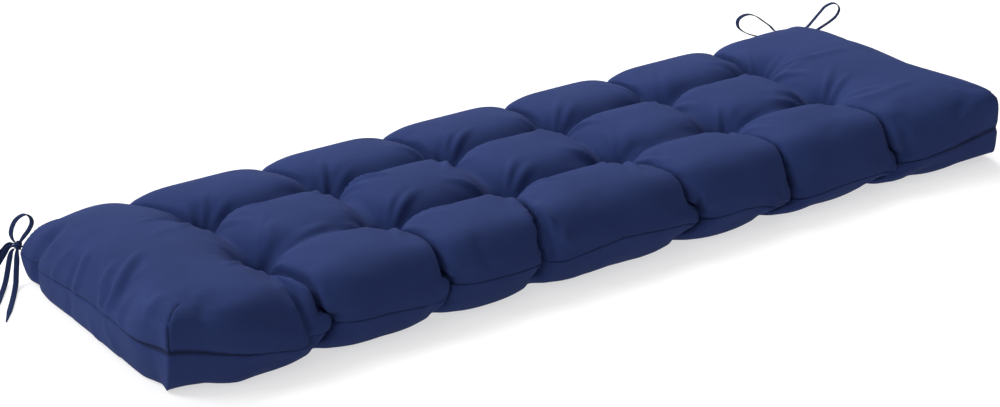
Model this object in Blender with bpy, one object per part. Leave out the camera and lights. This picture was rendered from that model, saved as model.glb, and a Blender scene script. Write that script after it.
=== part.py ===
"""Tufted bench cushion with a tied bow at each back corner.

Metres, +Z up. X runs along the cushion, -Y is the front long side, and z = 0 is the surface that
the cushion rests on. The cushion is one filled solid: a top and a bottom panel that meet in a seam
round the sides, drawn together by two rows of tacks. Each bow is a knot, two loops and two free
ends of narrow flat strip.
"""
import math

import bmesh
import bpy
from mathutils import Vector
from mathutils.geometry import interpolate_bezier

for item in list(bpy.data.objects):
    bpy.data.objects.remove(item, do_unlink=True)

# Cushion: driving sizes
LENGTH = 1.295  # between the corner seams, along X
DEPTH = 0.444  # between the corner seams, along Y
SEAM_Z = 0.042  # height of the seam that joins the two panels
CROWN_Z = 0.106  # height of the pillows along the middle
EDGE_WIDTH = 0.062  # how far the rounded edge of the top panel reaches inward
BASE_EDGE_WIDTH = 0.035  # the same, under the cushion

# Tacks: two rows that draw the top down and the bottom up
TACK_COLUMNS = 6
COLUMN_PITCH = 0.180
ROW_Y = 0.070  # each row's distance from the long centre line
TACK_Z = 0.066  # height of the top panel at a tack
TACK_LIFT = 0.020  # rise of the bottom panel at a tack
TACK_RADIUS = 0.060  # reach of the hollow round a tack, in the top panel
BASE_TACK_RADIUS = 0.045  # the same, in the bottom panel
FUNNEL_POWER = 2.2  # how sharply the top panel dives towards a tack

# Creases that the tacks pull between them
VALLEY_DEPTH = 0.013  # below the crown, halfway between two tacks
TACK_VALLEY_SHARE = 0.55  # share of a tack's depth that its creases start from
VALLEY_WIDTH = 0.024
EDGE_NOTCH = 0.014  # depth of the valley where it runs over a long edge
END_NOTCH = 0.004  # the same over the short ends
PINCH = 0.014  # how far a long side is drawn in at each column
PINCH_WIDTH = 0.020
PINCH_ARCH = 0.012  # rise of the lower edge at a pinch
SIDE_BULGE = 0.004  # how far a long side swells between two pinches
END_BULGE = 0.014  # how far a short end swells between its corners
BACK_SAG = 0.024  # the crown's fall from the middle to the back long side

# Corners: each one's side, how far its seam is drawn in, its seam height and its lower edge's lift
CORNERS = (
    # x side, y side, drawn in along X, along Y, seam height, lift
    (-1, -1, 0.016, 0.036, 0.056, 0.012),
    (1, -1, 0.008, 0.000, 0.050, 0.014),
    (-1, 1, 0.016, 0.012, 0.034, 0.006),
    (1, 1, 0.000, 0.008, 0.046, 0.008),
)
CORNER_REACH = 0.110  # distance over which a corner's own values fade out
CORNER_POWER = 6.0  # squareness of the boxed corners
CORNER_PROFILE = 5.0  # squareness of their upright edges

# Mesh of the cushion
EDGE_RINGS = 6  # rows round the edge, from the seam to the crown
TOP_PROFILE = 2.6  # 2 is a quarter circle, higher is squarer
BASE_PROFILE = 2.0
CELLS_LONG = 58
CELLS_DEEP = 14

# Colours of the cloth, linear red, green and blue
NAVY = (0.030, 0.045, 0.130)
DARK_NAVY = (0.022, 0.032, 0.095)
CLOTH_ROUGHNESS = 0.8

# Ties: flat strips, each bow gathered in a round knot at a back corner
STRIP_WIDTH = 0.007
STRIP_THICKNESS = 0.0018
KNOT_RADIUS = 0.0065
KNOT_GAP = 0.0004  # left between the knot and each strip
STRIP_STEP = 0.004  # spacing of the points along a strip
MILLIMETRE = 0.001

# Each knot's centre, in millimetres
KNOTS = {
    "left": (-634.4, 214.7, 44.0),
    "right": (651.2, 218.6, 55.0),
}

# Each strip: its corner, the direction its width lies in (None: level, across its run), and its
# route in millimetres from the knot; a loop comes back to the knot
STRIPS = {
    "tie_left_loop_up": ("left", (0.0, 1.0, 0.0), True, (
        (-638.5, 219.0, 51.0), (-640.0, 220.5, 58.0), (-638.7, 220.5, 66.0), (-633.7, 220.5, 75.0),
        (-626.5, 220.5, 80.0), (-618.3, 220.5, 81.0), (-612.0, 220.5, 75.0), (-611.0, 220.5, 67.0),
        (-616.0, 220.5, 58.5), (-623.0, 220.0, 52.0), (-628.5, 218.5, 47.5),
    )),
    "tie_left_loop_out": ("left", (-0.707, 0.0, 0.707), True, (
        (-643.0, 223.0, 41.5), (-650.0, 223.5, 33.0), (-658.0, 223.5, 23.0), (-665.0, 224.0, 14.5),
        (-670.0, 226.0, 8.5), (-671.5, 229.5, 7.0), (-669.0, 233.0, 9.0), (-663.0, 234.0, 16.0),
        (-656.0, 233.5, 25.0), (-648.5, 231.0, 35.0), (-640.0, 225.5, 44.5),
    )),
    "tie_left_end_front": ("left", (0.857, -0.515, 0.0), False, (
        (-637.5, 212.5, 36.0), (-641.0, 207.0, 27.0), (-646.0, 199.5, 16.0), (-651.5, 190.5, 6.0),
        (-659.0, 178.5, 1.7), (-668.0, 163.0, 1.3), (-680.0, 143.0, 1.3), (-693.0, 122.0, 1.3),
        (-703.0, 106.0, 1.3),
    )),
    "tie_left_end_outer": ("left", (0.857, -0.515, 0.0), False, (
        (-641.5, 219.0, 37.0), (-647.5, 214.5, 28.0), (-653.5, 208.5, 17.0), (-659.5, 202.5, 7.0),
        (-667.0, 193.5, 1.9), (-675.5, 181.0, 1.3), (-685.0, 166.5, 1.3), (-695.0, 151.0, 1.3),
        (-704.0, 137.0, 1.3),
    )),
    "tie_right_loop_in": ("right", (0.0, 1.0, 0.0), True, (
        (644.0, 223.0, 59.0), (632.0, 225.5, 63.0), (617.0, 225.5, 68.5), (606.5, 225.5, 78.7),
        (592.0, 225.5, 89.7), (579.0, 225.5, 99.4), (565.7, 225.5, 105.4), (554.0, 225.5, 106.2),
        (544.5, 225.5, 102.6), (541.9, 225.5, 96.0), (545.2, 225.5, 88.1), (555.4, 225.5, 79.6),
        (567.4, 225.5, 73.1), (581.5, 225.5, 67.3), (599.4, 225.5, 60.5), (624.0, 225.5, 52.5),
        (642.0, 223.5, 50.5),
    )),
    "tie_right_loop_out": ("right", (0.342, 0.940, 0.0), True, (
        (660.5, 216.4, 59.5), (672.0, 212.2, 69.0), (682.0, 208.6, 81.0), (690.6, 205.5, 91.5),
        (696.3, 203.4, 98.0), (706.7, 199.6, 102.5), (714.6, 196.7, 99.8), (718.5, 195.3, 92.0),
        (714.1, 196.9, 81.1), (703.8, 200.6, 72.4), (690.5, 205.5, 64.0), (678.6, 209.8, 57.5),
        (665.0, 214.8, 52.5),
    )),
    "tie_right_end_inner": ("right", None, False, (
        (650.0, 223.5, 47.5), (650.0, 228.0, 36.0), (647.5, 232.0, 22.0), (641.5, 236.0, 9.0),
        (632.0, 240.0, 2.0), (617.0, 244.0, 1.3), (598.0, 248.0, 1.3), (578.0, 250.0, 1.3),
        (562.0, 250.0, 1.3),
    )),
    "tie_right_end_outer": ("right", None, False, (
        (657.5, 224.0, 48.0), (661.0, 229.0, 37.0), (661.0, 236.0, 22.0), (655.0, 244.5, 9.0),
        (645.0, 252.0, 2.0), (629.0, 259.0, 1.3), (609.0, 264.0, 1.3), (590.0, 266.0, 1.3),
    )),
}

HALF_X = LENGTH / 2
HALF_Y = DEPTH / 2
COLUMN_X = [(i - (TACK_COLUMNS - 1) / 2) * COLUMN_PITCH for i in range(TACK_COLUMNS)]
ROWS_Y = (ROW_Y, -ROW_Y)


def hump(q):
    """Smooth bump that is 1 at q = 0 and exactly 0 from |q| = 1 outward."""
    return (1 - q * q) ** 2 if abs(q) < 1 else 0.0


def funnel(q):
    """Pointed hollow that is 1 at q = 0 and exactly 0 from q = 1 outward."""
    return (1 - q) ** FUNNEL_POWER if q < 1 else 0.0


def distance_to_run(x, y, start, end):
    """Distance from a point to a straight run, and how far along the run it lies, 0 to 1."""
    run_x, run_y = end[0] - start[0], end[1] - start[1]
    along = ((x - start[0]) * run_x + (y - start[1]) * run_y) / (run_x * run_x + run_y * run_y)
    along = min(1.0, max(0.0, along))
    return math.hypot(x - start[0] - along * run_x, y - start[1] - along * run_y), along


def valley_runs():
    """Every crease of the top panel: start, end, and the depth at its start, middle and end."""
    tack = (CROWN_Z - TACK_Z) * TACK_VALLEY_SHARE
    runs = []
    for column, x in enumerate(COLUMN_X):
        runs.append(((x, ROWS_Y[0]), (x, ROWS_Y[1]), (tack, VALLEY_DEPTH, tack)))
        for row_y in ROWS_Y:
            edge_y = math.copysign(HALF_Y, row_y)
            runs.append(((x, row_y), (x, edge_y), (tack, VALLEY_DEPTH, EDGE_NOTCH)))
            if column + 1 < TACK_COLUMNS:
                runs.append(((x, row_y), (COLUMN_X[column + 1], row_y), (tack, VALLEY_DEPTH, tack)))
    for x, end_x in ((COLUMN_X[0], -HALF_X), (COLUMN_X[-1], HALF_X)):
        for row_y in ROWS_Y:
            runs.append(((x, row_y), (end_x, row_y), (tack, END_NOTCH, END_NOTCH)))
    return runs


VALLEYS = valley_runs()


def crown_drop(x, y):
    """How far the top panel lies below the crown at a point of the plan."""
    drops = []
    for column_x in COLUMN_X:
        for row_y in ROWS_Y:
            reach = math.hypot(x - column_x, y - row_y) / TACK_RADIUS
            drops.append((CROWN_Z - TACK_Z) * funnel(reach))
    for start, end, (first, middle, last) in VALLEYS:
        across, along = distance_to_run(x, y, start, end)
        blend = (2 * along - 1) ** 2
        depth = middle + ((first if along < 0.5 else last) - middle) * blend
        drops.append(depth * hump(across / (2 * VALLEY_WIDTH)))
    return BACK_SAG * (max(0.0, y) / HALF_Y) ** 2 + sum(drop ** 4 for drop in drops) ** 0.25


def base_rise(x, y):
    """How far the bottom panel is lifted off the surface at a point of the plan."""
    rise = 0.0
    for column_x in COLUMN_X:
        for row_y in ROWS_Y:
            reach = math.hypot(x - column_x, y - row_y) / BASE_TACK_RADIUS
            rise = max(rise, TACK_LIFT * hump(reach))
        from_edge = (HALF_Y - abs(y)) / (2 * BASE_EDGE_WIDTH)
        rise = max(rise, PINCH_ARCH * hump((x - column_x) / (3 * PINCH_WIDTH)) * hump(from_edge))
    for side_x, side_y, _, _, _, lift in CORNERS:
        away = math.hypot(x - side_x * HALF_X, y - side_y * HALF_Y) / CORNER_REACH
        rise = max(rise, lift * hump(away))
    return rise


def side_offset(x):
    """How far a long side stands out from the straight line between its corners."""
    pinch = max(hump((x - column_x) / (2 * PINCH_WIDTH)) for column_x in COLUMN_X)
    swell = math.cos(math.pi * x / COLUMN_PITCH) ** 2 if abs(x) < COLUMN_X[-1] else 1.0
    taper = 1 - (x / HALF_X) ** 8
    return SIDE_BULGE * swell * taper - PINCH * pinch


def end_offset(y):
    """How far a short end stands out from the straight line between its corners."""
    return END_BULGE * (1 - (y / HALF_Y) ** 2)


def outline(x, y):
    """Plan position after the sides swell, the columns pinch and the corners draw in."""
    from_side = max(0.0, 1 - (HALF_Y - abs(y)) / (3 * EDGE_WIDTH))
    from_end = max(0.0, 1 - (HALF_X - abs(x)) / (3 * EDGE_WIDTH))
    moved_x = x + math.copysign(1, x) * end_offset(y) * from_end
    moved_y = y + math.copysign(1, y) * side_offset(x) * from_side ** 2
    for side_x, side_y, draw_x, draw_y, _, _ in CORNERS:
        fade = hump(math.hypot(x - side_x * HALF_X, y - side_y * HALF_Y) / CORNER_REACH)
        moved_x -= side_x * draw_x * fade
        moved_y -= side_y * draw_y * fade
    return moved_x, moved_y


def seam_height(x, y):
    """Height of the seam, which dips or rises towards some corners."""
    height = SEAM_Z
    for side_x, side_y, _, _, corner_z, _ in CORNERS:
        fade = hump(math.hypot(x - side_x * HALF_X, y - side_y * HALF_Y) / (2 * CORNER_REACH))
        height += (corner_z - SEAM_Z) * fade
    return height


def edge_rise(distance, width, power):
    """Share of a panel's full height reached at a distance in from the seam."""
    if distance >= width:
        return 1.0
    return (1 - (1 - distance / width) ** power) ** (1 / power)


def boxed(x, y):
    """1 at a corner seam, falling to 0 where the sides are plain rounded edges."""
    return hump(math.hypot(HALF_X - abs(x), HALF_Y - abs(y)) / CORNER_REACH)


def panel_lines(half, cells):
    """Places of the grid lines across a panel, closer together round its rounded edge."""
    angles = [math.pi / 2 * ring / EDGE_RINGS for ring in range(EDGE_RINGS + 1)]
    edge = [-half + EDGE_WIDTH * (1 - math.cos(angle) ** (2 / TOP_PROFILE)) for angle in angles]
    inner = half - EDGE_WIDTH
    middle = [-inner + 2 * inner * cell / cells for cell in range(1, cells)]
    return edge + middle + [-place for place in reversed(edge)]


def panel_point(x, y, width, power, surface):
    """Where a point of a flat panel lies on the filled cushion."""
    squarer = power + (CORNER_PROFILE - power) * boxed(x, y)
    short_x = 1 - edge_rise(HALF_X - abs(x), width, squarer)
    short_y = 1 - edge_rise(HALF_Y - abs(y), width, squarer)
    short = (short_x ** CORNER_POWER + short_y ** CORNER_POWER) ** (1 / CORNER_POWER)
    seam_z = seam_height(x, y)
    return *outline(x, y), seam_z + (surface(x, y) - seam_z) * max(0.0, 1 - short)


def add_panel(mesh, width, power, surface):
    """Lay one panel as a grid, moved point by point onto its filled shape."""
    lines_x = panel_lines(HALF_X, CELLS_LONG)
    lines_y = panel_lines(HALF_Y, CELLS_DEEP)
    count_x, count_y = len(lines_x) - 1, len(lines_y) - 1
    grid = bmesh.ops.create_grid(mesh, x_segments=count_x, y_segments=count_y, size=1.0)
    for vertex in grid["verts"]:
        x = lines_x[round((vertex.co.x + 1) / 2 * count_x)]
        y = lines_y[round((vertex.co.y + 1) / 2 * count_y)]
        vertex.co = panel_point(x, y, width, power, surface)


def fabric(name, colour):
    """Plain woven fabric."""
    material = bpy.data.materials.new(name)
    material.use_nodes = True
    shader = material.node_tree.nodes["Principled BSDF"]
    shader.inputs["Base Color"].default_value = (*colour, 1.0)
    shader.inputs["Roughness"].default_value = CLOTH_ROUGHNESS
    shader.inputs["Metallic"].default_value = 0.0
    return material


def build_cushion():
    """Both panels, merged along the seam into one closed solid."""
    mesh = bmesh.new()
    add_panel(mesh, EDGE_WIDTH, TOP_PROFILE, lambda x, y: CROWN_Z - crown_drop(x, y))
    add_panel(mesh, BASE_EDGE_WIDTH, BASE_PROFILE, base_rise)
    bmesh.ops.remove_doubles(mesh, verts=mesh.verts, dist=0.0001)
    bmesh.ops.recalc_face_normals(mesh, faces=mesh.faces)
    data = bpy.data.meshes.new("cushion")
    mesh.to_mesh(data)
    mesh.free()
    data.shade_smooth()
    cushion = bpy.data.objects.new("cushion", data)
    cushion.data.materials.append(fabric("cushion_fabric", NAVY))
    bpy.context.scene.collection.objects.link(cushion)


def smooth_route(points):
    """Points a step apart on one smooth curve through the route's own points."""
    ends = [2 * points[0] - points[1]] + points + [2 * points[-1] - points[-2]]
    smooth = []
    for before, start, end, after in zip(ends, points, points[1:], ends[3:]):
        count = max(2, round((end - start).length / STRIP_STEP) + 1)
        leave = start + (end - before) / 6
        arrive = end - (after - start) / 6
        smooth += interpolate_bezier(start, leave, arrive, end, count)[:-1]
    return smooth + [points[-1]]


def knot_distance(section, knot):
    """Distance from a knot's centre to the nearest point across a strip's section."""
    point, across = section
    share = (knot - point).dot(across) / across.length_squared
    return (point + across * max(-1.0, min(1.0, share)) - knot).length


def clear_of_knot(sections, knot):
    """Cut off the first stretch of a strip, up to the gap round the knot."""
    reach = KNOT_RADIUS + KNOT_GAP
    first = next(i for i, section in enumerate(sections) if knot_distance(section, knot) > reach)
    inside, outside = sections[first - 1], sections[first]
    near, far = knot_distance(inside, knot), knot_distance(outside, knot)
    share = (reach - near) / (far - near)
    start = (inside[0].lerp(outside[0], share), inside[1].lerp(outside[1], share))
    return [start] + sections[first:]


def strip_sections(points, width):
    """Each point of a route with half the strip's width there."""
    sections = []
    for before, point, after in zip(points[:1] + points, points, points[1:] + points[-1:]):
        across = Vector(width) if width else (after - before).cross(Vector((0, 0, 1)))
        sections.append((point, across.normalized() * STRIP_WIDTH / 2))
    return sections


def build_strip(name, corner, width, is_loop, route, material):
    """A flat strip: one edge pulled along its route, then given its thickness."""
    knot = Vector(KNOTS[corner]) * MILLIMETRE
    points = [knot] + [Vector(point) * MILLIMETRE for point in route]
    points = smooth_route(points + [knot] if is_loop else points)
    sections = clear_of_knot(strip_sections(points, width), knot)
    if is_loop:
        sections = clear_of_knot(sections[::-1], knot)
    mesh = bmesh.new()
    point, across = sections[0]
    ends = (mesh.verts.new(point - across), mesh.verts.new(point + across))
    edge = mesh.edges.new(ends)
    for point, across in sections[1:]:
        left = ends[0]
        pulled = bmesh.ops.extrude_edge_only(mesh, edges=[edge])["geom"]
        edge = next(item for item in pulled if isinstance(item, bmesh.types.BMEdge))
        ends = sorted(edge.verts, key=lambda vertex: (vertex.co - left.co).length)
        ends[0].co = point - across
        ends[1].co = point + across
    data = bpy.data.meshes.new(name)
    mesh.to_mesh(data)
    mesh.free()
    data.materials.append(material)
    strip = bpy.data.objects.new(name, data)
    thickness = strip.modifiers.new("thickness", "SOLIDIFY")
    thickness.thickness = STRIP_THICKNESS
    thickness.offset = 0.0
    thickness.use_even_offset = True
    bpy.context.scene.collection.objects.link(strip)


def build_knot(corner, material):
    """The gathered middle of a bow, as a small round lump."""
    mesh = bmesh.new()
    bmesh.ops.create_uvsphere(mesh, u_segments=16, v_segments=10, radius=KNOT_RADIUS)
    data = bpy.data.meshes.new(f"tie_{corner}_knot")
    mesh.to_mesh(data)
    mesh.free()
    data.shade_smooth()
    data.materials.append(material)
    knot = bpy.data.objects.new(f"tie_{corner}_knot", data)
    knot.location = Vector(KNOTS[corner]) * MILLIMETRE
    bpy.context.scene.collection.objects.link(knot)


def build_ties():
    """Both bows: a knot each, with its loops and its free ends."""
    material = fabric("tie_fabric", DARK_NAVY)
    for corner in KNOTS:
        build_knot(corner, material)
    for name, (corner, width, is_loop, route) in STRIPS.items():
        build_strip(name, corner, width, is_loop, route, material)


build_cushion()
build_ties()
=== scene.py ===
"""Tufted bench cushion in navy woven cloth, lying on a pale floor, with a bow at each back corner.

Metres, +Z up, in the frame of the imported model. The cover is cut as a plain box of cloth, laid on
the shape of the filled pad, held down at its tacks and blown up by a cloth simulation.
"""
import math

import bmesh
import bpy
import numpy as np
from mathutils import Euler, Matrix, Vector
from mathutils.geometry import interpolate_bezier


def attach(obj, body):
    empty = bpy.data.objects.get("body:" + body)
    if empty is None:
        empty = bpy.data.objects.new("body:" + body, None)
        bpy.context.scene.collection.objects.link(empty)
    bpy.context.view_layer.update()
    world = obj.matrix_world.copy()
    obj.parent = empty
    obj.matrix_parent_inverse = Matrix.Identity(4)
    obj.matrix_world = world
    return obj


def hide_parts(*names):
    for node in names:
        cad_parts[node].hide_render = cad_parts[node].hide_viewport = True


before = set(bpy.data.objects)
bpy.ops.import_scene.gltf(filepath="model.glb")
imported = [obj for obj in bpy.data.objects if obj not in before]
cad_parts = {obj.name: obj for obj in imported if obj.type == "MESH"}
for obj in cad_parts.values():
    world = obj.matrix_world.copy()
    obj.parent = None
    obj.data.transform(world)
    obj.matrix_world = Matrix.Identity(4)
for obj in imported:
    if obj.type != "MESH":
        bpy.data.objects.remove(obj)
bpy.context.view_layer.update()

# Camera: the photograph's view, worked out from the tacks and the outline
IMAGE_WIDTH = 1000
CAMERA_PLACE = (-1.7427, -2.4579, 1.3616)
CAMERA_PITCH = 24.0
CAMERA_YAW = 34.62
FOCAL_PIXELS = 2481.0
SENSOR_WIDTH = 36.0

# Filled pad: driving sizes, close to those of the solid that it stands for
LENGTH = 1.295
DEPTH = 0.444
SEAM_Z = 0.046
CROWN_Z = 0.106
EDGE_WIDTH = 0.058  # of the rounded edge of the top
BASE_EDGE_WIDTH = 0.030  # the same of the underside, at the front and the back
BASE_END_WIDTH = 0.002  # and at the ends
TACK_COLUMNS = 6
COLUMN_PITCH = 0.180
ROW_Y = 0.070
TACK_Z = 0.050
TACK_LIFT = 0.020  # how far the underside is drawn up at a tack
TACK_RADIUS = 0.062
BASE_TACK_RADIUS = 0.045
# How sharply the tack hollows and the valleys come to a point, and how sharply all of them meet
FUNNEL_POWER = 2.0
VALLEY_POWER = 3.2
BLEND_POWER = 4
COLUMN_REACH = 0.072  # how far a valley along Y spreads to each side of it
ROW_REACH = 0.057  # the same for a valley along X
VALLEY_DEPTH = 0.025  # halfway between two tacks
TACK_VALLEY = 0.053  # the same at a tack
FRONT_ROW_VALLEYS = (0.012, 0.028, 0.028, 0.018, 0.018)  # halfway between front tacks
BACK_VALLEY = (0.016, 0.003)  # halfway from a tack to the back, and at the back
END_REACH = 0.050  # how far the valley from an outer tack towards its end goes
PINCH = 0.007  # how far the sides are drawn in at the slits
PINCH_WIDTH = 0.022
PINCH_ARCH = 0.005  # how far the underside is lifted there
# How far each side stands out halfway along; below 0 it is drawn in
SIDE_BULGE = -0.002
LEFT_BULGE = -0.006
RIGHT_BULGE = 0.014
SIDE_EVENNESS = 8  # the power with which the front and the back bulge falls off to the ends
# How far the base of the left end lies inside its seam
LEFT_TUCK = (
    # place along Y, distance
    (-0.222, 0.003),
    (-0.180, 0.014),
    (-0.140, 0.014),
    (-0.100, 0.008),
    (-0.060, 0.003),
)
FRONT_TUCK = 0.005  # the same for the front
FRONT_TUCK_END = 0.5  # where along X it has faded out
FRONT_TUCK_FADE = 0.1  # and over what length it does
FRONT_INSET = 0.010  # how far the whole front is drawn in
BACK_SAG = 0.024  # how much lower the top is at the back
CORNERS = (
    # x side, y side, drawn in along X, along Y, along Y further at the base, seam height, lift,
    # how square it stands
    (-1, -1, 0.0165, 0.028, 0.010, 0.062, 0.000, 1.3),
    (1, -1, -0.005, -0.004, 0.000, 0.050, 0.010, 1.5),
    (-1, 1, 0.010, 0.014, 0.000, 0.038, 0.002, 0.0),
    (1, 1, 0.000, 0.008, 0.000, 0.046, 0.008, 0.5),
)
CORNER_REACH = 0.110  # how far a corner is drawn in and lifted
CORNER_POWER = 6.0  # how sharply two edges meet there
BOX_REACH = 0.160  # how far a square corner reaches
BOX_WIDTH = 0.7  # the width of its edges, against elsewhere
# Two powers of a section across an edge: how long it stays up, how steep it leaves the seam
BOX_PROFILE = (5.0, 4.0)
TOP_PROFILE = (2.6, 1.8)
BASE_PROFILE = (2.4, 2.4)

# Slits: from each tack the pillows meet in a deep narrow crease, out to the side and down it
SLIT_DROP = 0.015  # below the top
SLIT_INSET = 0.014  # into the side
SLIT_WIDTH = 0.015
SLIT_START = 0.35  # share of the way from a tack to the side over which a slit deepens
SLIT_LEVELS = (-1.0, 0.05, 0.5, 1.0)  # between which the shifts below go over into one another
FRONT_SLITS = (
    # tack column, shift along X at the upper edge, halfway down, at the lower edge,
    # depth of the open valley around it halfway out and at the edge
    (0, 0.014, 0.028, 0.012, 0.026, 0.030),
    (1, 0.006, 0.016, 0.000, 0.012, 0.004),
    (2, -0.032, -0.028, -0.033, 0.012, 0.004),
    (3, 0.024, 0.042, 0.014, 0.012, 0.006),
    (4, 0.012, 0.018, -0.024, 0.012, 0.006),
    (5, 0.012, 0.024, -0.018, 0.012, 0.006),
)
BACK_SHIFTS = (-0.054, -0.036, -0.026, 0.000, -0.002, 0.018)  # of each back slit at the edge
MOUTH_SHIFTS = (-0.012, 0.004, -0.034, 0.022, 0.012, 0.010)  # of the valleys around the slits

# Seam along the front, which drops towards each slit, and where on the way there it begins
FRONT_SEAM_START = 0.5
FRONT_SEAM = (
    # place along X, height
    (-0.648, 0.060),
    (-0.560, 0.046),
    (-0.475, 0.028),
    (-0.430, 0.044),
    (-0.350, 0.042),
    (-0.275, 0.034),
    (-0.255, 0.048),
    (-0.130, 0.044),
    (-0.105, 0.040),
    (0.000, 0.050),
    (0.100, 0.041),
    (0.125, 0.035),
    (0.200, 0.038),
    (0.265, 0.028),
    (0.290, 0.024),
    (0.380, 0.030),
    (0.450, 0.030),
    (0.560, 0.037),
    (0.648, 0.050),
)

# Seam along the left end, and how far in from there it reaches
LEFT_SEAM_REACH = 0.2
LEFT_SEAM = (
    # place along Y, height
    (-0.222, 0.060),
    (-0.170, 0.057),
    (-0.130, 0.057),
    (-0.060, 0.057),
    (0.000, 0.055),
    (0.090, 0.047),
    (0.150, 0.041),
    (0.222, 0.038),
)

# Cover: its grid, on the pad's plan
CELLS_X = 158  # grid cells along the top panel
CELLS_Y = 56
CELLS_Z = 12  # grid cells up a side, the seam halfway
CELLS_PER_PITCH = 22  # cells from one tack column to the next
CROWDING = 0.010  # how far grid lines move towards the nearest tack column
CELLS_TO_ROW = 9  # cells from the long centre line to a tack row
ON_FACE = 0.9999  # share of the box from which a point lies on an outer face
ON_SEAM = 0.01  # share of its height up to which a point lies on the seam
# Rows up half a side, from the seam: the cloth's own share, and the share of the height
LEVEL_ROWS = ((0.0, 0.17, 1.0), (0.0, 0.09, 1.0))
SLACK = 1.07  # the cloth's size against the shape it is laid on

# Simulation of the cover
PRESSURE = 9.0
STIFFNESS = 40.0
SHEAR_STIFFNESS = 8.0
BENDING_STIFFNESS = 0.05
POINT_MASS = 0.05
AIR_DRAG = 2.0
HOLD_STIFFNESS = 0.1
# How firmly the cover is held where it is laid; elsewhere it is free
SEAM_HOLD = 0.6
LOW_END_HOLD = 0.6  # at the left end, below its seam
CORNER_HOLD = 0.8
CORNER_HOLD_REACH = 0.080
SLIT_HOLD_START = 0.035  # from the tack's row outward
TACK_HOLD_REACH = 0.0085  # cloth within it is held at the tack
TACK_GATHERING = 0.6  # and drawn in to this share of its distance
FRAMES = 30
MOVE_CAP = 0.030  # the farthest that the simulation moves a point

# Sewing
SIDE_CLOTH = 0.052  # cloth from the seam to the edge of the top or the bottom
SEAM_GROOVE = 0.0018
SEAM_PUCKER = 0.5  # how unevenly deep the groove is
SEAM_PUCKER_PITCHES = (0.031, 0.083)
SLIT_CREASE = 0.019  # how much deeper the slits are sewn in, in a narrow V
SLIT_CREASE_START = 0.5  # share of the way from a tack to the side over which it deepens
SLIT_CREASE_WIDTH = 0.006
TACK_PIT = 0.010  # how much deeper the cloth is drawn in at each tack
TACK_PIT_WIDTH = 0.013
SLIT_LIP = 0.010  # how far the pillow on the left of a slit is drawn out over it
SLIT_LIP_WIDTH = 0.030
DART_REACH = 0.030
DART_WIDTH = 0.002
GATHERS = 9  # fine folds at a tack
GATHER_REACH = 0.082
GATHER_REACHES = (0.7, 1.3)  # the shortest and the longest, against that
GATHER_WIDTH = 0.0045
GATHER_WIDENING = 0.05  # how much wider a fold gets with its distance from the tack
GATHER_HEIGHT = 0.0028
GATHER_HEIGHTS = (0.4, 1.3)  # the lowest and the highest, against that
GATHER_SHIFT = 0.7  # the largest turn from its even place, against the angle between two folds
GATHER_PEAK = 0.45  # share of its reach at which a fold is highest

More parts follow.
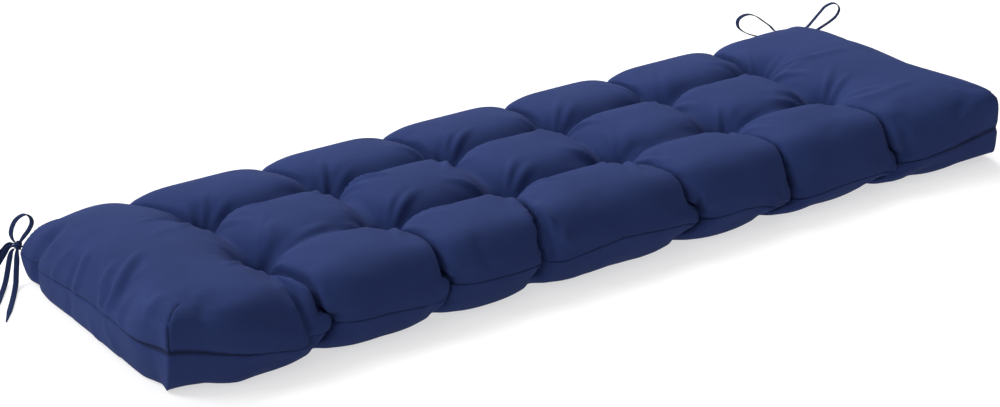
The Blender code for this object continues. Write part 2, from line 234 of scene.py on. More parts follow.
# The photograph's own folds, each along a line of points on the cover
FOLD_RISE = 0.3  # share of its line over which a fold rises
FOLD_FADE = 0.2  # share over which it falls, half of it past the line's end
FOLDS = (
    # half width, height (below 0 for a hollow), points
    # left end: the deep fold at the back corner's ear, then the puckers along the seam
    (0.010, -0.013, (
        (-0.605, 0.128, 0.098), (-0.621, 0.139, 0.077), (-0.627, 0.147, 0.062),
        (-0.632, 0.156, 0.045), (-0.635, 0.164, 0.015),
    )),
    (0.007, 0.0026, (
        (-0.618, 0.072, 0.094), (-0.629, 0.079, 0.082), (-0.636, 0.092, 0.063),
        (-0.640, 0.093, 0.046),
    )),
    (0.006, 0.0036, (
        (-0.610, 0.043, 0.100), (-0.623, 0.041, 0.092), (-0.632, 0.036, 0.083),
        (-0.639, 0.034, 0.069), (-0.643, 0.036, 0.055),
    )),
    (0.006, -0.0026, ((-0.622, 0.052, 0.092), (-0.636, 0.050, 0.072), (-0.642, 0.051, 0.052))),
    (0.007, 0.0030, (
        (-0.600, -0.008, 0.104), (-0.617, -0.015, 0.096), (-0.629, -0.019, 0.083),
        (-0.640, -0.030, 0.069), (-0.644, -0.035, 0.061),
    )),
    (0.006, -0.0030, ((-0.626, -0.036, 0.088), (-0.634, -0.040, 0.081), (-0.642, -0.040, 0.063))),
    (0.007, 0.0040, (
        (-0.570, -0.018, 0.112), (-0.585, -0.026, 0.111), (-0.603, -0.036, 0.104),
        (-0.619, -0.044, 0.095), (-0.631, -0.049, 0.080), (-0.641, -0.045, 0.061),
    )),
    (0.008, -0.0034, (
        (-0.580, -0.037, 0.111), (-0.602, -0.048, 0.105), (-0.618, -0.057, 0.094),
        (-0.630, -0.062, 0.080),
    )),
    (0.008, 0.0024, (
        (-0.610, -0.084, 0.100), (-0.625, -0.082, 0.088), (-0.633, -0.079, 0.077),
        (-0.644, -0.083, 0.062),
    )),
    (0.009, 0.0024, (
        (-0.600, -0.134, 0.110), (-0.613, -0.136, 0.107), (-0.625, -0.138, 0.102),
        (-0.634, -0.138, 0.089),
    )),
    (0.007, -0.0022, ((-0.642, 0.060, 0.045), (-0.641, 0.053, 0.031), (-0.639, 0.065, 0.011))),
    (0.007, 0.0020, ((-0.641, 0.003, 0.040), (-0.640, -0.001, 0.026), (-0.638, -0.010, 0.008))),
    (0.007, 0.0020, ((-0.642, -0.040, 0.049), (-0.641, -0.047, 0.036), (-0.640, -0.064, 0.018))),
    # round the slits, from the left
    (0.005, 0.0050, (
        (-0.466, -0.135, 0.089), (-0.474, -0.168, 0.091), (-0.473, -0.193, 0.075),
        (-0.465, -0.200, 0.053), (-0.464, -0.207, 0.030),
    )),
    (0.006, -0.0100, (
        (-0.465, -0.150, 0.090), (-0.462, -0.185, 0.069), (-0.457, -0.199, 0.050),
        (-0.455, -0.205, 0.030),
    )),
    (0.006, 0.0050, ((-0.430, -0.155, 0.098), (-0.427, -0.185, 0.082), (-0.418, -0.190, 0.049))),
    (0.007, -0.0070, (
        (-0.426, -0.150, 0.096), (-0.414, -0.182, 0.086), (-0.403, -0.194, 0.060),
        (-0.402, -0.198, 0.035),
    )),
    (0.005, 0.0040, ((-0.422, -0.185, 0.080), (-0.424, -0.195, 0.065), (-0.434, -0.203, 0.045))),
    (0.007, -0.0030, ((-0.212, -0.180, 0.102), (-0.212, -0.194, 0.088), (-0.203, -0.207, 0.062))),
    (0.005, 0.0060, (
        (-0.256, -0.196, 0.075), (-0.249, -0.190, 0.050), (-0.253, -0.196, 0.038),
        (-0.268, -0.202, 0.030),
    )),
    (0.005, 0.0050, ((-0.097, -0.140, 0.102), (-0.102, -0.177, 0.099), (-0.099, -0.190, 0.088))),
    (0.006, -0.0070, (
        (-0.108, -0.165, 0.098), (-0.107, -0.185, 0.090), (-0.106, -0.195, 0.070),
        (-0.106, -0.200, 0.045),
    )),
    (0.006, 0.0030, ((-0.088, -0.196, 0.084), (-0.086, -0.206, 0.062))),
    (0.006, -0.0024, ((-0.028, -0.211, 0.043), (-0.036, -0.206, 0.018))),
    (0.006, 0.0020, ((-0.084, -0.208, 0.054), (-0.097, -0.207, 0.030))),
    (0.005, 0.0060, (
        (0.120, -0.180, 0.085), (0.138, -0.200, 0.064), (0.142, -0.203, 0.040),
        (0.140, -0.202, 0.025),
    )),
    (0.005, -0.0080, ((0.126, -0.186, 0.080), (0.130, -0.198, 0.062), (0.133, -0.198, 0.036))),
    (0.005, 0.0056, ((0.283, -0.170, 0.092), (0.290, -0.192, 0.070), (0.297, -0.200, 0.048))),
    (0.005, -0.0070, ((0.286, -0.180, 0.084), (0.285, -0.194, 0.062), (0.287, -0.196, 0.042))),
    (0.006, 0.0040, ((0.250, -0.207, 0.052), (0.256, -0.209, 0.036), (0.236, -0.209, 0.026))),
    (0.006, 0.0070, (
        (0.466, -0.176, 0.084), (0.474, -0.194, 0.070), (0.476, -0.201, 0.052),
        (0.470, -0.203, 0.036), (0.450, -0.205, 0.026),
    )),
    (0.007, -0.0110, (
        (0.470, -0.155, 0.094), (0.482, -0.180, 0.086), (0.490, -0.193, 0.070),
        (0.492, -0.202, 0.048),
    )),
    # from the tacks over the pillows
    (0.007, 0.0034, (
        (-0.440, -0.068, 0.066), (-0.412, -0.066, 0.087), (-0.385, -0.062, 0.097),
        (-0.345, -0.058, 0.100),
    )),
    (0.007, 0.0028, ((-0.442, -0.062, 0.066), (-0.425, -0.050, 0.092), (-0.403, -0.024, 0.106))),
    (0.008, 0.0030, ((-0.462, 0.062, 0.075), (-0.500, 0.035, 0.098), (-0.545, 0.010, 0.108))),
    (0.008, 0.0026, (
        (0.462, 0.052, 0.075), (0.478, 0.034, 0.095), (0.518, 0.026, 0.109),
        (0.565, 0.018, 0.113),
    )),
    (0.008, 0.0030, (
        (0.462, -0.090, 0.075), (0.475, -0.120, 0.098), (0.505, -0.132, 0.108),
        (0.550, -0.134, 0.113),
    )),
    (0.007, -0.0040, ((0.440, 0.080, 0.070), (0.435, 0.120, 0.084), (0.450, 0.160, 0.092))),
)

# Ties: flat strips, each bow gathered in a knot at a back corner
STRIP_WIDTH = 0.007
STRIP_THICKNESS = 0.0014
STRIP_ROUNDING = 0.0005
KNOT_RADIUS = 0.0065
KNOT_SINK = 0.0020  # how far a strip's full width runs into the knot; narrowed, it is less or none
KNOT_GATHER = (0.55, 0.012)  # a strip's width at the knot, and where it is full again
END_GATHER = (0.25, 0.030)  # the same from a free end
STRIP_STEP = 0.003  # spacing of the points along a strip
KNOT_WRAPS = 0.0008  # half the depth of the hollows between the knot's turns
KNOT_TURNS = (5.0, 1.5, 7.0)  # how closely the turns follow each other along X, Y and Z
KNOTS = {
    "left": (-0.6344, 0.2147, 0.0440),
    "right": (0.6512, 0.2186, 0.0550),
}
# Each strip: its corner, the direction its width lies in (None: level, across its run), whether it
# is a loop that comes back to the knot, and its route from the knot
STRIPS = {
    "tie_left_loop_up": ("left", (-0.4, 0.917, 0.0), True, (
        (-0.6385, 0.2190, 0.0510), (-0.6400, 0.2205, 0.0580), (-0.6387, 0.2205, 0.0660),
        (-0.6337, 0.2205, 0.0750), (-0.6265, 0.2205, 0.0800), (-0.6183, 0.2205, 0.0810),
        (-0.6120, 0.2205, 0.0750), (-0.6110, 0.2205, 0.0670), (-0.6160, 0.2205, 0.0585),
        (-0.6230, 0.2200, 0.0520), (-0.6285, 0.2185, 0.0475),
    )),
    "tie_left_loop_out": ("left", (-0.707, 0.0, 0.707), True, (
        (-0.6430, 0.2230, 0.0415), (-0.6500, 0.2235, 0.0330), (-0.6580, 0.2235, 0.0230),
        (-0.6650, 0.2240, 0.0145), (-0.6700, 0.2260, 0.0085), (-0.6715, 0.2295, 0.0070),
        (-0.6690, 0.2330, 0.0090), (-0.6630, 0.2340, 0.0160), (-0.6560, 0.2335, 0.0250),
        (-0.6485, 0.2310, 0.0350), (-0.6400, 0.2255, 0.0445),
    )),
    "tie_left_end_front": ("left", (0.857, -0.515, 0.0), False, (
        (-0.6375, 0.2125, 0.0360), (-0.6410, 0.2070, 0.0270), (-0.6460, 0.1995, 0.0160),
        (-0.6515, 0.1905, 0.0060), (-0.6590, 0.1785, 0.0017), (-0.6680, 0.1630, 0.0013),
        (-0.6800, 0.1430, 0.0013), (-0.6930, 0.1220, 0.0013), (-0.7030, 0.1060, 0.0013),
    )),
    "tie_left_end_outer": ("left", (0.857, -0.515, 0.0), False, (
        (-0.6415, 0.2190, 0.0370), (-0.6475, 0.2145, 0.0280), (-0.6535, 0.2085, 0.0170),
        (-0.6595, 0.2025, 0.0070), (-0.6670, 0.1935, 0.0019), (-0.6755, 0.1810, 0.0013),
        (-0.6850, 0.1665, 0.0013), (-0.6950, 0.1510, 0.0013), (-0.7040, 0.1370, 0.0013),
    )),
    "tie_right_loop_in": ("right", (0.0, 1.0, 0.0), True, (
        (0.6440, 0.2230, 0.0590), (0.6320, 0.2255, 0.0630), (0.6170, 0.2255, 0.0685),
        (0.6065, 0.2255, 0.0787), (0.5920, 0.2255, 0.0897), (0.5790, 0.2255, 0.0994),
        (0.5657, 0.2255, 0.1054), (0.5540, 0.2255, 0.1062), (0.5445, 0.2255, 0.1026),
        (0.5419, 0.2255, 0.0960), (0.5452, 0.2255, 0.0881), (0.5554, 0.2255, 0.0796),
        (0.5674, 0.2255, 0.0731), (0.5815, 0.2255, 0.0673), (0.5994, 0.2255, 0.0605),
        (0.6240, 0.2255, 0.0525), (0.6420, 0.2235, 0.0505),
    )),
    "tie_right_loop_out": ("right", (0.342, 0.94, 0.0), True, (
        (0.6605, 0.2164, 0.0595), (0.6720, 0.2122, 0.0690), (0.6820, 0.2086, 0.0810),
        (0.6906, 0.2055, 0.0915), (0.6963, 0.2034, 0.0980), (0.7067, 0.1996, 0.1025),
        (0.7146, 0.1967, 0.0998), (0.7185, 0.1953, 0.0920), (0.7141, 0.1969, 0.0811),
        (0.7038, 0.2006, 0.0724), (0.6905, 0.2055, 0.0640), (0.6786, 0.2098, 0.0575),
        (0.6650, 0.2148, 0.0525),
    )),
    "tie_right_end_inner": ("right", None, False, (
        (0.6500, 0.2235, 0.0475), (0.6500, 0.2280, 0.0360), (0.6475, 0.2320, 0.0220),
        (0.6415, 0.2360, 0.0090), (0.6320, 0.2400, 0.0020), (0.6170, 0.2440, 0.0013),
        (0.5980, 0.2480, 0.0013), (0.5780, 0.2500, 0.0013), (0.5620, 0.2500, 0.0013),
    )),
    "tie_right_end_outer": ("right", None, False, (
        (0.6575, 0.2240, 0.0480), (0.6610, 0.2290, 0.0370), (0.6610, 0.2360, 0.0220),
        (0.6550, 0.2445, 0.0090), (0.6450, 0.2520, 0.0020), (0.6290, 0.2590, 0.0013),
        (0.6090, 0.2640, 0.0013), (0.5900, 0.2660, 0.0013),
    )),
}

# Cloth: colours in linear red, green and blue
CUSHION_COLOUR = (0.0165, 0.0290, 0.103)
TIE_COLOUR = (0.010, 0.019, 0.062)
CLOTH_FINISH = {
    "Roughness": 0.9,
    "Specular IOR Level": 0.1,
    "Sheen Weight": 0.02,
    "Sheen Roughness": 0.4,
    "Sheen Tint": (0.35, 0.45, 0.90, 1),
}
THREAD_PITCH = 0.0012
WEAVE_STRENGTH = 0.35
WEAVE_RELIEF = 0.0003
SLUB_TONES = (0.90, 1.10)
# painted shade: the colour along the seam and the darts is darkened to this share, standing in for
# the shade in their grooves
SEAM_SHADE_TONE = 0.35

# Light and floor
SKY_SIDE = (-0.8, 0.3, 0.6)  # the direction in which the sky is brightest
SKY_FACING = (-0.2, 0.8)  # from where to where it brightens, as a cosine to that direction
SKY_LEVELS = (0.05, 1.15)
KEYS = (
    # place, size, power
    ((-2.8, 1.4, 2.8), 1.4, 90.0),
    ((1.2, 1.8, 2.4), 1.6, 85.0),
)
KEY_TARGET = (0.0, 0.0, 0.05)
FLOOR_REACH = 8.0
FLOOR_COLOUR = (0.4, 0.4, 0.4, 1)
FLOOR_GLOW = 0.6

HALF_X = LENGTH / 2
HALF_Y = DEPTH / 2
SIDE_REACH = 3 * EDGE_WIDTH  # how far in from a side its bulge and its pinches go
COLUMN_X = [(i - (TACK_COLUMNS - 1) / 2) * COLUMN_PITCH for i in range(TACK_COLUMNS)]
ROWS_Y = (ROW_Y, -ROW_Y)
TACKS = [(x, y) for x in COLUMN_X for y in ROWS_Y]


def hump(q):
    """Smooth bump that is 1 at q = 0 and exactly 0 from |q| = 1 outward."""
    return np.where(np.abs(q) < 1, (1 - q * q) ** 2, 0.0)


def funnel(q):
    """Pointed hollow that is 1 at q = 0 and exactly 0 from q = 1 outward."""
    return np.clip(1 - q, 0.0, 1.0) ** FUNNEL_POWER


def way_out(y, part=1.0):
    """How far points lie along the first part of the way from a tack to the side, 0 to 1."""
    return np.clip((np.abs(y) - ROW_Y) / (part * (HALF_Y - ROW_Y)), 0.0, 1.0)


def corner_distance(x, y, side_x, side_y):
    """Distance in plan from one of the pad's corners."""
    return np.hypot(x - side_x * HALF_X, y - side_y * HALF_Y)


def distance_to_run(x, y, start, end):
    """Distance from points to a straight run, and how far along the run they lie, 0 to 1."""
    run_x, run_y = end[0] - start[0], end[1] - start[1]
    along = ((x - start[0]) * run_x + (y - start[1]) * run_y) / (run_x * run_x + run_y * run_y)
    along = np.clip(along, 0.0, 1.0)
    return np.hypot(x - start[0] - along * run_x, y - start[1] - along * run_y), along


def valley_runs():
    """Every valley of the top: start, end, its depth at both and between, and its reach."""
    runs = []
    for column, x in enumerate(COLUMN_X):
        between = (TACK_VALLEY, VALLEY_DEPTH, TACK_VALLEY)
        runs.append(((x, ROWS_Y[0]), (x, ROWS_Y[1]), between, COLUMN_REACH))
        mouth = FRONT_SLITS[column][4:]
        mouth_x = x + MOUTH_SHIFTS[column]
        runs.append(((x, -ROW_Y), (mouth_x, -HALF_Y), (TACK_VALLEY, *mouth), COLUMN_REACH))
        back = (x + BACK_SHIFTS[column], HALF_Y)
        runs.append(((x, ROW_Y), back, (TACK_VALLEY, *BACK_VALLEY), COLUMN_REACH))
        if column + 1 < TACK_COLUMNS:
            end_x = COLUMN_X[column + 1]
            runs.append(((x, ROW_Y), (end_x, ROW_Y), between, ROW_REACH))
            front = (TACK_VALLEY, FRONT_ROW_VALLEYS[column], TACK_VALLEY)
            runs.append(((x, -ROW_Y), (end_x, -ROW_Y), front, ROW_REACH))
    for x, reach in ((COLUMN_X[0], -END_REACH), (COLUMN_X[-1], END_REACH)):
        for row_y in ROWS_Y:
            to_end = (TACK_VALLEY, TACK_VALLEY / 4, 0.0)
            runs.append(((x, row_y), (x + reach, row_y), to_end, ROW_REACH))
    return runs


def slit_away(x, y, level, column):
    """Distance along X from the slit of a tack column, on the side that each point is nearer to.

    level is 1 on the top, falls to 0 at the seam and to -1 at the lower edge.
    """
    upper, middle, lower = FRONT_SLITS[column][1:4]
    out = way_out(y)
    down = np.interp(level, SLIT_LEVELS, (lower, middle, middle, upper))
    front = np.where(level < 1, down, upper * out)
    shift = np.where(y < 0, front, BACK_SHIFTS[column] * out)
    return x - COLUMN_X[column] - shift


def slit_depth(x, y, level):
    """How deep the slits are at each point, as a share of their full depth."""
    out = way_out(y, SLIT_START)
    depth = np.zeros_like(x)
    for column in range(TACK_COLUMNS):
        depth = np.maximum(depth, hump(slit_away(x, y, level, column) / SLIT_WIDTH))
    return depth * out * out * (3 - 2 * out)


def crown_height(x, y, level):
    """Height of the top of the filled pad."""
    total = np.zeros_like(x)
    for tack_x, tack_y in TACKS:
        reach = np.hypot(x - tack_x, y - tack_y) / TACK_RADIUS
        total += ((CROWN_Z - TACK_Z) * funnel(reach)) ** BLEND_POWER
    for start, end, (first, middle, last), reach in valley_runs():
        across, along = distance_to_run(x, y, start, end)
        depth = middle + (np.where(along < 0.5, first, last) - middle) * (2 * along - 1) ** 2
        valley = depth * np.clip(1 - across / reach, 0.0, 1.0) ** VALLEY_POWER
        total += valley ** BLEND_POWER
    total += (SLIT_DROP * slit_depth(x, y, level)) ** BLEND_POWER
    hollow = total ** (1 / BLEND_POWER)
    return CROWN_Z - BACK_SAG * (np.maximum(0.0, y) / HALF_Y) ** 2 - hollow


def base_height(x, y, level):
    """Height of the underside of the filled pad."""
    rise = np.zeros_like(x)
    for tack_x, tack_y in TACKS:
        reach = np.hypot(x - tack_x, y - tack_y) / BASE_TACK_RADIUS
        rise = np.maximum(rise, TACK_LIFT * hump(reach))
    from_edge = (HALF_Y - np.abs(y)) / (2 * BASE_EDGE_WIDTH)
    for column in range(TACK_COLUMNS):
        away = slit_away(x, y, level, column)
        rise = np.maximum(rise, PINCH_ARCH * hump(away / (3 * PINCH_WIDTH)) * hump(from_edge))
    for side_x, side_y, *_, lift, _ in CORNERS:
        away = corner_distance(x, y, side_x, side_y) / CORNER_REACH
        rise = np.maximum(rise, lift * hump(away))
    return rise


def outline(x, y, level):
    """Plan position after the sides swell, the columns pinch and the corners draw in."""
    from_side = np.maximum(0.0, 1 - (HALF_Y - np.abs(y)) / SIDE_REACH)
    from_end = np.maximum(0.0, 1 - (HALF_X - np.abs(x)) / SIDE_REACH)
    pinch = np.zeros_like(x)
    for column in range(TACK_COLUMNS):
        away = slit_away(x, y, level, column)
        pinch = np.maximum(pinch, hump(away / (2 * PINCH_WIDTH)))
    swell = SIDE_BULGE * (1 - (x / HALF_X) ** SIDE_EVENNESS) - PINCH * pinch
    side = swell * from_side ** 2 - SLIT_INSET * slit_depth(x, y, level) * from_side ** 4
    bulge = np.where(x < 0, -LEFT_BULGE, RIGHT_BULGE)
    moved_x = x + bulge * (1 - (y / HALF_Y) ** 2) * from_end
    below = np.maximum(0.0, -level)
    front_tuck = FRONT_TUCK * below * np.clip((FRONT_TUCK_END - x) / FRONT_TUCK_FADE, 0.0, 1.0)
    front = np.where(y < 0, FRONT_INSET + front_tuck, 0.0)
    moved_y = y + np.sign(y) * side + front * from_side ** 2
    left_tuck = np.interp(y, *zip(*LEFT_TUCK))
    moved_x = moved_x + np.where(x < 0, left_tuck, 0.0) * below * from_end
    for side_x, side_y, draw_x, draw_y, base_y, *_ in CORNERS:
        fade = hump(corner_distance(x, y, side_x, side_y) / CORNER_REACH)
        moved_x = moved_x - side_x * draw_x * fade
        moved_y = moved_y - side_y * (draw_y + base_y * below) * fade
    return moved_x, moved_y


def seam_height(x, y):
    """Height of the seam, which dips or rises towards some corners and drops at the slits."""
    height = np.full_like(x, SEAM_Z)
    for side_x, side_y, *_, corner_z, _, _ in CORNERS:
        fade = hump(corner_distance(x, y, side_x, side_y) / (2 * CORNER_REACH))
        height += (corner_z - SEAM_Z) * fade
    places, heights = zip(*FRONT_SEAM)
    front = np.clip((-y / HALF_Y - FRONT_SEAM_START) / (1 - FRONT_SEAM_START), 0.0, 1.0)
    height += (np.interp(x, places, heights) - height) * front
    places, heights = zip(*LEFT_SEAM)
    left = np.clip(1 - (HALF_X + x) / LEFT_SEAM_REACH, 0.0, 1.0) * (1 - front ** 4)
    return height + (np.interp(y, places, heights) - height) * left


def edge_rise(distance, width, profile):
    """Share of a panel's full height reached at a distance in from the seam."""
    short = np.clip(1 - distance / width, 0.0, 1.0)
    return (1 - short ** profile[0]) ** (1 / profile[1])


def panel_plan(share, profile):
    """Where a panel's points lie in plan, and their level, with even rows up the sides."""
    level = np.sign(share[:, 2]) * np.interp(np.abs(share[:, 2]), *LEVEL_ROWS)
    short = 1 - np.abs(level) ** profile[1]
    plan_x = CELLS_X * COLUMN_PITCH / CELLS_PER_PITCH / 2
    plan_y = CELLS_Y * ROW_Y / CELLS_TO_ROW / 2
    x = share[:, 0] * (plan_x + (HALF_X - plan_x) * short)
    inner = np.abs(x) < TACK_COLUMNS * COLUMN_PITCH / 2
    x = x + CROWDING * np.sin(2 * math.pi * x / COLUMN_PITCH) * inner
    y = share[:, 1] * (plan_y + (HALF_Y - plan_y) * short)
    return x, y, level


def pad_surface(share, widths, profile, surface):
    """Places on the filled pad of the points of one panel."""
    x, y, level = panel_plan(share, profile)
    boxed = np.zeros_like(x)
    for side_x, side_y, *_, square in CORNERS:
        boxed += square * hump(corner_distance(x, y, side_x, side_y) / BOX_REACH)
    squarer = [own + (box - own) * boxed for own, box in zip(profile, BOX_PROFILE)]
    narrow = 1 + (BOX_WIDTH - 1) * boxed
    short_x = 1 - edge_rise(HALF_X - np.abs(x), widths[0] * narrow, squarer)
    short_y = 1 - edge_rise(HALF_Y - np.abs(y), widths[1] * narrow, squarer)
    short = (short_x ** CORNER_POWER + short_y ** CORNER_POWER) ** (1 / CORNER_POWER)
    seam_z = seam_height(x, y)
    height = seam_z + (surface(x, y, level) - seam_z) * np.maximum(0.0, 1 - short)
    return np.stack([*outline(x, y, level), height], axis=1)


def cut_cover():
    """The cover as a box of cloth on a grid, two units long, deep and high."""
    mesh = bmesh.new()
    bmesh.ops.create_cube(mesh, size=2.0)
    for axis, cells in enumerate((CELLS_X, CELLS_Y, CELLS_Z)):
        edges = [e for e in mesh.edges if abs((e.verts[0].co - e.verts[1].co)[axis]) > 1.0]
        bmesh.ops.subdivide_edges(mesh, edges=edges, cuts=cells - 1, use_grid_fill=True)
    data = bpy.data.meshes.new("cushion_cover")
    mesh.to_mesh(data)
    mesh.free()
    return data


def read_points(data):
    """A mesh's points as an array."""
    points = np.empty(len(data.vertices) * 3, np.float32)
    data.vertices.foreach_get("co", points)
    return points.reshape(-1, 3).astype(float)


def read_normals(data):
    """A mesh's directions outward at its points."""
    normals = np.empty(len(data.vertices) * 3, np.float32)
    data.vertex_normals.foreach_get("vector", normals)
    return normals.reshape(-1, 3).astype(float)


def write_points(keeper, points):
    """Put an array back as the points of a mesh or a shape key."""
    keeper.foreach_set("co", points.astype(np.float32).ravel())


def lay_cover(share):
    """Places of the cover's points on the pad, and how firmly each is held there."""
    top = pad_surface(share, (EDGE_WIDTH, EDGE_WIDTH), TOP_PROFILE, crown_height)
    base_widths = (BASE_END_WIDTH, BASE_EDGE_WIDTH)
    base = pad_surface(share, base_widths, BASE_PROFILE, base_height)
    laid = np.where(share[:, 2:] > 0, top, base)

    x, y, level = panel_plan(share, TOP_PROFILE)
    corner = hump(np.hypot(HALF_X - np.abs(x), HALF_Y - np.abs(y)) / CORNER_HOLD_REACH)
    hold = CORNER_HOLD * corner
    hold = np.where(level == 0, np.maximum(hold, SEAM_HOLD), hold)
    low_end = (share[:, 0] < -ON_FACE) & (level < 0)
    hold = np.where(low_end, np.maximum(hold, LOW_END_HOLD), hold)
    half_cell = 0.51 * COLUMN_PITCH / CELLS_PER_PITCH  # and a little, so that none is missed
    for column in range(TACK_COLUMNS):
        on_slit = np.abs(slit_away(x, y, level, column)) < half_cell
        outside = (np.abs(y) > ROW_Y + SLIT_HOLD_START) & (level > -1)
        hold = np.where(on_slit & outside, 1.0, hold)
    for side, height in ((1.0, TACK_Z), (-1.0, TACK_LIFT)):
        for tack in TACKS:
            away = np.hypot(x - tack[0], y - tack[1])
            near = (level == side) & (away < TACK_HOLD_REACH)
            laid[near, :2] = tack + (laid[near, :2] - tack) * TACK_GATHERING
            laid[near, 2] = height
            hold[near] = 1.0
    return laid, hold


def blow_up(laid, hold):
    """The cover's points after the cloth simulation."""
    cover = bpy.data.objects.new("cushion_cover", cut_cover())
    bpy.context.scene.collection.objects.link(cover)
    write_points(cover.shape_key_add(name="cut").data, laid * SLACK)
    write_points(cover.shape_key_add(name="laid").data, laid)
    cover.data.shape_keys.key_blocks["laid"].value = 1.0
    held = cover.vertex_groups.new(name="held")
    for point, weight in enumerate(hold):
        held.add([point], float(weight), "REPLACE")
    cloth = cover.modifiers.new("cloth", "CLOTH")
    settings = cloth.settings
    settings.rest_shape_key = cover.data.shape_keys.key_blocks["cut"]
    settings.quality = 5
    settings.mass = POINT_MASS
    settings.tension_stiffness = STIFFNESS
    settings.compression_stiffness = STIFFNESS
    settings.shear_stiffness = SHEAR_STIFFNESS
    settings.bending_stiffness = BENDING_STIFFNESS
    settings.air_damping = AIR_DRAG
    settings.use_pressure = True
    settings.uniform_pressure_force = PRESSURE
    settings.vertex_group_mass = "held"
    settings.pin_stiffness = HOLD_STIFFNESS
    settings.effector_weights.gravity = 0.0
    cloth.collision_settings.use_self_collision = False
    cloth.point_cache.frame_start = 1
    cloth.point_cache.frame_end = FRAMES
    for step in range(1, FRAMES + 1):
        bpy.context.scene.frame_set(step)
    blown = read_points(cover.evaluated_get(bpy.context.evaluated_depsgraph_get()).data)
    bpy.data.objects.remove(cover)
    bpy.context.scene.frame_set(1)
    moved = blown - laid
    far = np.linalg.norm(moved, axis=1, keepdims=True)
    return laid + moved * np.minimum(1.0, MOVE_CAP / np.maximum(far, 1e-9))


def uneven(seed, lowest, highest):
    """A fixed uneven number between two bounds for each seed."""
    share = math.sin(12.9898 * seed + 78.233) * 43758.5453 % 1.0
    return lowest + (highest - lowest) * share


def gather_folds(x, y, level):
    """Height of the fine folds that fan out from the tacks."""
    height = np.zeros_like(x)
    seed = 0
    for tack_x, tack_y in TACKS:
        away = np.hypot(x - tack_x, y - tack_y)
        angle = np.arctan2(y - tack_y, x - tack_x)
        for fold in range(GATHERS):
            seed += 1
            place = fold + uneven(seed, 0.0, GATHER_SHIFT)
            turn = angle - place * 2 * math.pi / GATHERS
            reach = GATHER_REACH * uneven(seed + 0.3, *GATHER_REACHES)
            across = away * np.sin(turn) / (GATHER_WIDTH + GATHER_WIDENING * away)
            along = (away / reach - GATHER_PEAK) / (1 - GATHER_PEAK)
            size = GATHER_HEIGHT * uneven(seed + 0.6, *GATHER_HEIGHTS)
            size = size * hump(along) * (np.cos(turn) > 0)
            height += size * (1 - 2 * across ** 2) * np.exp(-across ** 2)
    return np.where(level == 1, height, 0.0)


def smooth_cover(data, share):
    """The cover's mesh halved and rounded once, with each point's share of the box of cloth."""
    kept = data.attributes.new("share", "FLOAT_VECTOR", "POINT")
    kept.data.foreach_set("vector", share.astype(np.float32).ravel())
    coarse = bpy.data.objects.new("coarse", data)
    bpy.context.scene.collection.objects.link(coarse)
    smooth = coarse.modifiers.new("smooth", "SUBSURF")
    smooth.levels = smooth.render_levels = 1
    evaluated = coarse.evaluated_get(bpy.context.evaluated_depsgraph_get())
    fine = bpy.data.meshes.new_from_object(evaluated)
    bpy.data.objects.remove(coarse)
    fine.name = "cushion_padded"
    share = np.empty(len(fine.vertices) * 3, np.float32)
    fine.attributes["share"].data.foreach_get("vector", share)
    return fine, share.reshape(-1, 3).astype(float)


def stitched(share):
    """1 at each point on the seam or on a corner dart, else 0."""
    in_x, in_y = (1 - np.abs(share[:, 0])) * HALF_X, (1 - np.abs(share[:, 1])) * HALF_Y
    on_corner = (np.abs(in_x - in_y) < DART_WIDTH) & (in_x < DART_REACH)
    dart = on_corner & (share[:, 2] > 0)
    return np.maximum(np.abs(share[:, 2]) < ON_SEAM, dart).astype(float)


def line_distance(points, line):
    """Distance from points to a line of straight runs, and how far along it they lie, 0 to 1."""
    line = np.array(line)
    runs = np.linalg.norm(np.diff(line, axis=0), axis=1)
    before = np.concatenate([[0.0], np.cumsum(runs)])
    nearest, share = np.full(len(points), np.inf), np.zeros(len(points))
    for start, end, run, done in zip(line, line[1:], runs, before):
        along = np.clip((points - start) @ (end - start) / run ** 2, 0.0, 1.0)
        away = np.linalg.norm(points - start - along[:, None] * (end - start), axis=1)
        share = np.where(away < nearest, (done + along * run) / before[-1], share)
        nearest = np.minimum(nearest, away)
    return nearest, share


def own_folds(points):
    """Height of the photograph's own folds."""
    height = np.zeros(len(points))
    for width, size, line in FOLDS:
        away, along = line_distance(points, line)
        rise = np.clip(along / FOLD_RISE, 0.0, 1.0)
        fade = np.clip((1 + FOLD_FADE / 2 - along) / FOLD_FADE, 0.0, 1.0)
        height += size * rise * fade * np.exp(-(away / width) ** 2)
    return height


def sew(points, normals, share):
    """Draw the tacks, the slits, the seam and the darts in, and raise the folds."""
    x, y, level = panel_plan(share, TOP_PROFILE)
    offset = gather_folds(x, y, level) + own_folds(points)
    for tack_x, tack_y in TACKS:
        away = np.hypot(x - tack_x, y - tack_y) / TACK_PIT_WIDTH
        offset -= TACK_PIT * np.exp(-away ** 2) * (level == 1)
    out = way_out(y, SLIT_CREASE_START) * (level > -1)
    for column in range(TACK_COLUMNS):
        away = slit_away(x, y, level, column)
        near = np.clip(1 - np.abs(away) / SLIT_CREASE_WIDTH, 0.0, 1.0)
        offset -= SLIT_CREASE * near * out
        lip = np.clip(1 + away / SLIT_LIP_WIDTH, 0.0, 1.0) ** 2 * (away < -SLIT_CREASE_WIDTH / 2)
        offset += SLIT_LIP * lip * out * (y < 0) * np.clip(1 + level, 0.0, 1.0)
    waves = [np.sin(2 * math.pi * x / pitch) for pitch in SEAM_PUCKER_PITCHES]
    groove = SEAM_GROOVE * (1 + SEAM_PUCKER * waves[0] * waves[1])
    offset = np.where(stitched(share) > 0, np.minimum(offset, -groove), offset)
    return points + normals * offset[:, None]


